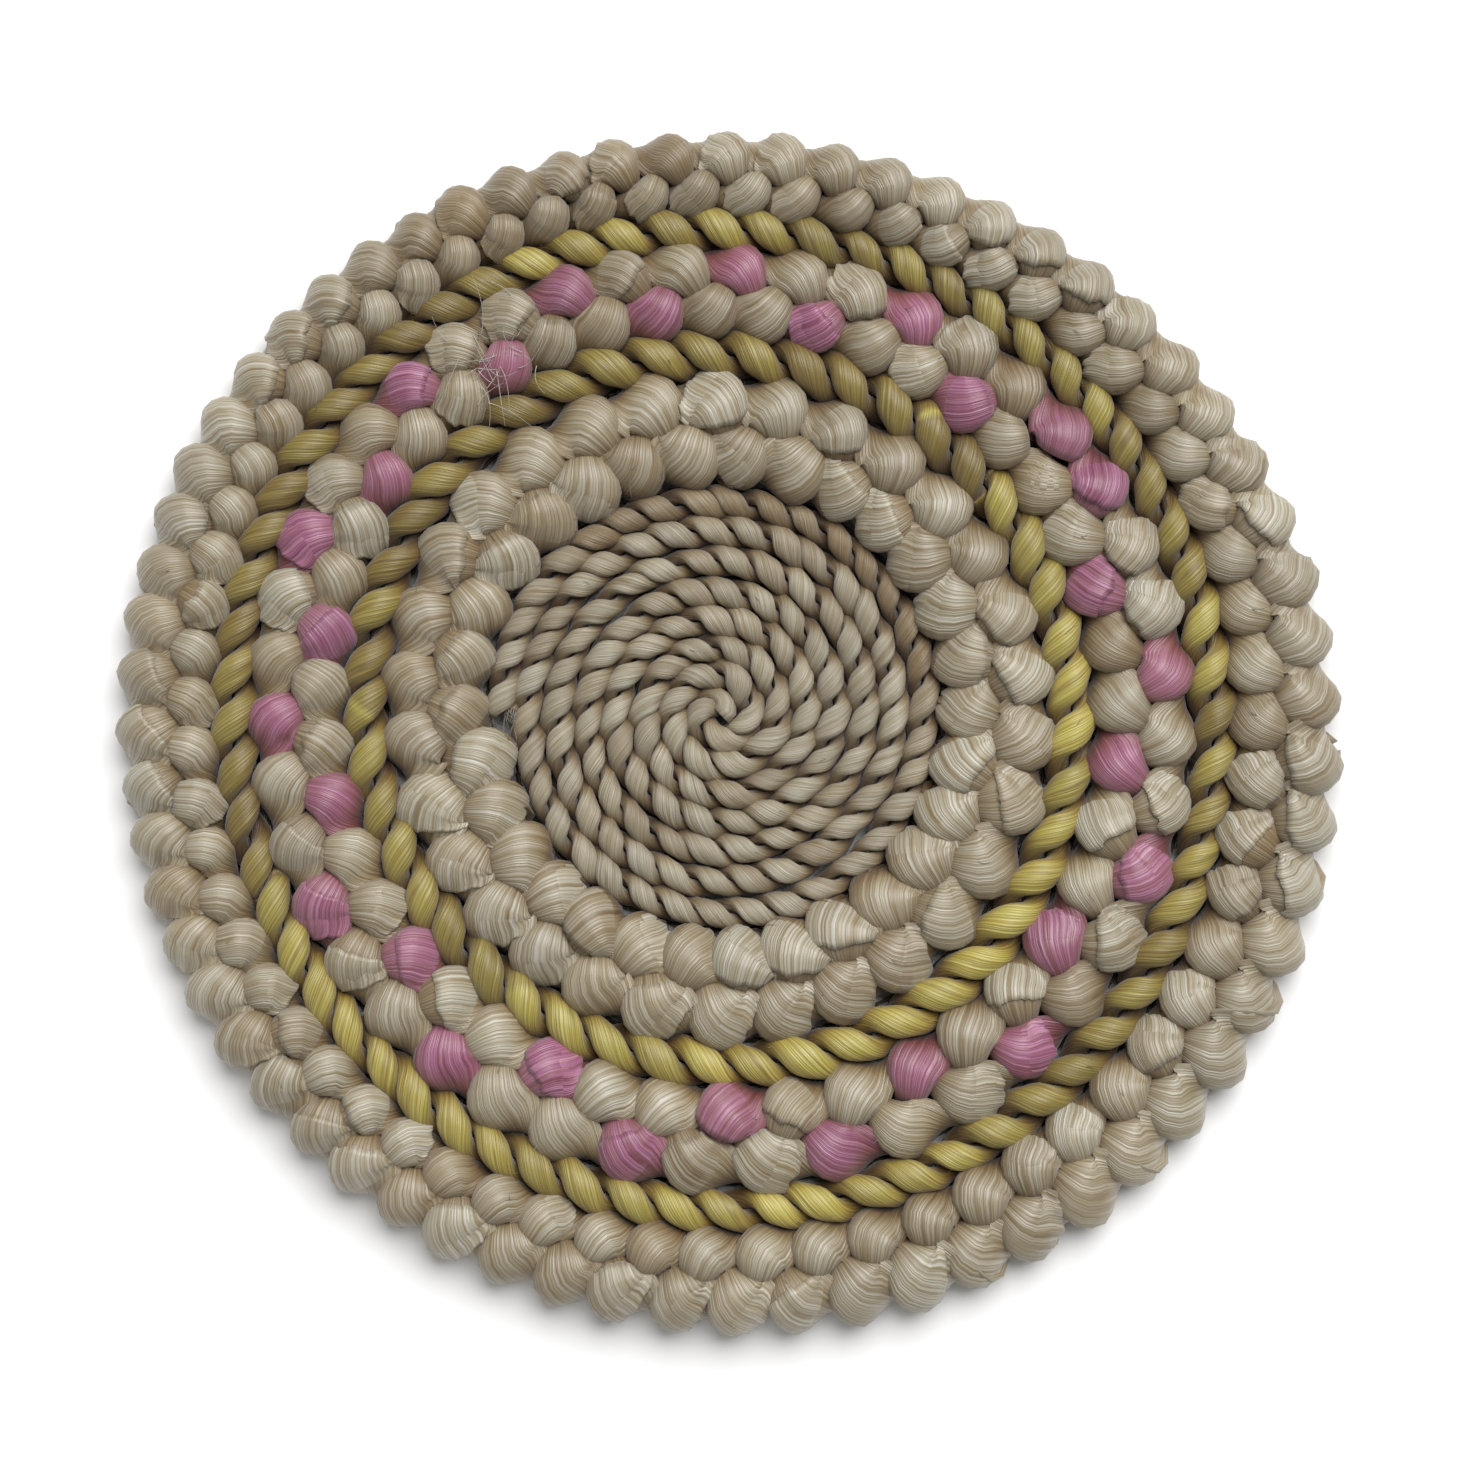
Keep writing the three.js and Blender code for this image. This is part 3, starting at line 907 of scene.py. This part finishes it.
OUTER_BRAID = BRAID | {
    "nodes": ["outer_braid_strand_1", "outer_braid_strand_2", "outer_braid_strand_3"],
    "materials": [CREAM] * 3, "slots": ["cream_husk"] * 3,
    "inside": OUTER_YELLOW_RIM, "outside": PAD_RIM,
    "lobes": 63, "steepness": 0.65, "seed": 31, "bias": 0.17,
    "bunch_cos": 2.6, "bunch_sin": 4.0, "tan_arcs": [(95, 125, 0.4)],
}

CORD = {
    "uneven": 0.1, "belly": 0.2, "offset": 0.54, "ply_width": 0.55, "ply_height": 0.5,
    "tan": 0.12, "wisps": 8, "sides": 34, "steps_per_cycle": 24,
    "start_phase": 0, "start_angle": 0, "bunch_cos": 0, "bunch_sin": 0,
}

INNER_YELLOW = CORD | {
    "nodes": ["inner_yellow_ply_a", "inner_yellow_ply_b"],
    "materials": [YELLOW] * 2, "slots": ["yellow_husk"] * 2,
    "inside": INNER_BRAID_RIM, "outside": INNER_YELLOW_RIM,
    "twists": 22.5, "radius": 8.3 * MM, "seed": 41, "start_angle": 40,
    "tan_arcs": [(40, 54, 0.9), (54, 180, 0.7), (180, 235, 0.45)],
}
OUTER_YELLOW = CORD | {
    "nodes": ["outer_yellow_ply_a", "outer_yellow_ply_b"],
    "materials": [YELLOW] * 2, "slots": ["yellow_husk"] * 2,
    "inside": MIXED_BRAID_RIM, "outside": OUTER_YELLOW_RIM,
    "twists": 32, "radius": 8.0 * MM, "seed": 51, "start_angle": 200,
    "tan": 0.28, "tan_arcs": [(0, 100, 0.2), (115, 200, 0.6), (300, 360, 0.3)],
}
COIL = CORD | {
    "nodes": ["centre_coil_ply_a", "centre_coil_ply_b"],
    "materials": [CREAM] * 2, "slots": ["cream_husk"] * 2,
    "twists": 69.8, "turns": 7.58, "radius": COIL_CORD_RADIUS, "seed": 61,
    "ply_width": 0.6, "ply_height": 0.48, "uneven": 0.14, "belly": 0.24, "tan": 0.2,
    "sides": 28, "steps_per_cycle": 20,
}

build_coil(COIL)
build_braid(INNER_BRAID)
build_ring_cord(INNER_YELLOW)
build_braid(MIXED_BRAID)
build_ring_cord(OUTER_YELLOW)
build_braid(OUTER_BRAID)

build_coil_thread(THREAD)
build_thread("coil_to_inner_braid_thread", COIL_RIM, THREAD)
build_thread("inner_braid_to_yellow_thread", INNER_BRAID_RIM, THREAD)
build_thread("yellow_to_mixed_braid_thread", INNER_YELLOW_RIM, THREAD, [(200, 7, 7.5 * MM)])
build_thread("mixed_braid_to_yellow_thread", MIXED_BRAID_RIM, THREAD)
build_thread("yellow_to_outer_braid_thread", OUTER_YELLOW_RIM, THREAD)


# ---------------------------------------------------------------- floor, lights and camera

FIELD = 0.4772
LENS = 100
SENSOR = 36
PAD_TOP = 0.018
CAMERA_SHIFT = (-0.4 * MM, 1.5 * MM)
FLOOR_REACH = 3.0
KEY_PLACE = (0.4, 0.9, 1.35)
KEY_SOFTNESS = math.radians(50)
KEY_STRENGTH = 3.8
FILL_PLACE = (-0.8, -0.7, 1.1)
FILL_SIZE = 1.4
FILL_POWER = 4
ROOM_COLOUR = (1.0, 0.98, 0.95, 1.0)
ROOM_STRENGTH = 0.15


def build_floor():
    """A plain square floor under the pad."""
    mesh = bpy.data.meshes.new("floor")
    near, far = -FLOOR_REACH, FLOOR_REACH
    corners = [(near, near, 0), (far, near, 0), (far, far, 0), (near, far, 0)]
    mesh.from_pydata(corners, [], [(0, 1, 2, 3)])
    floor = bpy.data.objects.new("floor", mesh)
    bpy.context.collection.objects.link(floor)
    floor.location.z = cad_low.z
    mesh.materials.append(floor_material())


def place_light(name, data, place):
    """Puts a light in the scene, turned towards the pad."""
    light = bpy.data.objects.new(name, data)
    light.location = place
    light.rotation_euler = (-light.location).to_track_quat("-Z", "Y").to_euler()
    bpy.context.collection.objects.link(light)


def build_key():
    """A soft light from one direction that is as strong all over the floor."""
    data = bpy.data.lights.new("key", "SUN")
    data.angle = KEY_SOFTNESS
    data.energy = KEY_STRENGTH
    place_light("key", data, KEY_PLACE)


def build_fill():
    """A weak, broad light from the other side."""
    data = bpy.data.lights.new("fill", "AREA")
    data.shape = "DISK"
    data.size = FILL_SIZE
    data.energy = FILL_POWER
    place_light("fill", data, FILL_PLACE)


def build_world():
    """Faint light from all round."""
    world = bpy.data.worlds.new("soft_room")
    world.use_nodes = True
    background = world.node_tree.nodes["Background"]
    background.inputs["Color"].default_value = ROOM_COLOUR
    background.inputs["Strength"].default_value = ROOM_STRENGTH
    bpy.context.scene.world = world


def build_camera():
    """Looks straight down from the height at which the field of view is FIELD wide at the pad's top."""
    data = bpy.data.cameras.new("camera")
    data.lens = LENS
    data.sensor_width = SENSOR
    camera = bpy.data.objects.new("camera", data)
    camera.location = (*CAMERA_SHIFT, PAD_TOP + FIELD * LENS / SENSOR)
    bpy.context.collection.objects.link(camera)
    bpy.context.scene.camera = camera


build_floor()
build_key()
build_fill()
build_world()
build_camera()
bpy.context.scene.view_settings.view_transform = "Standard"
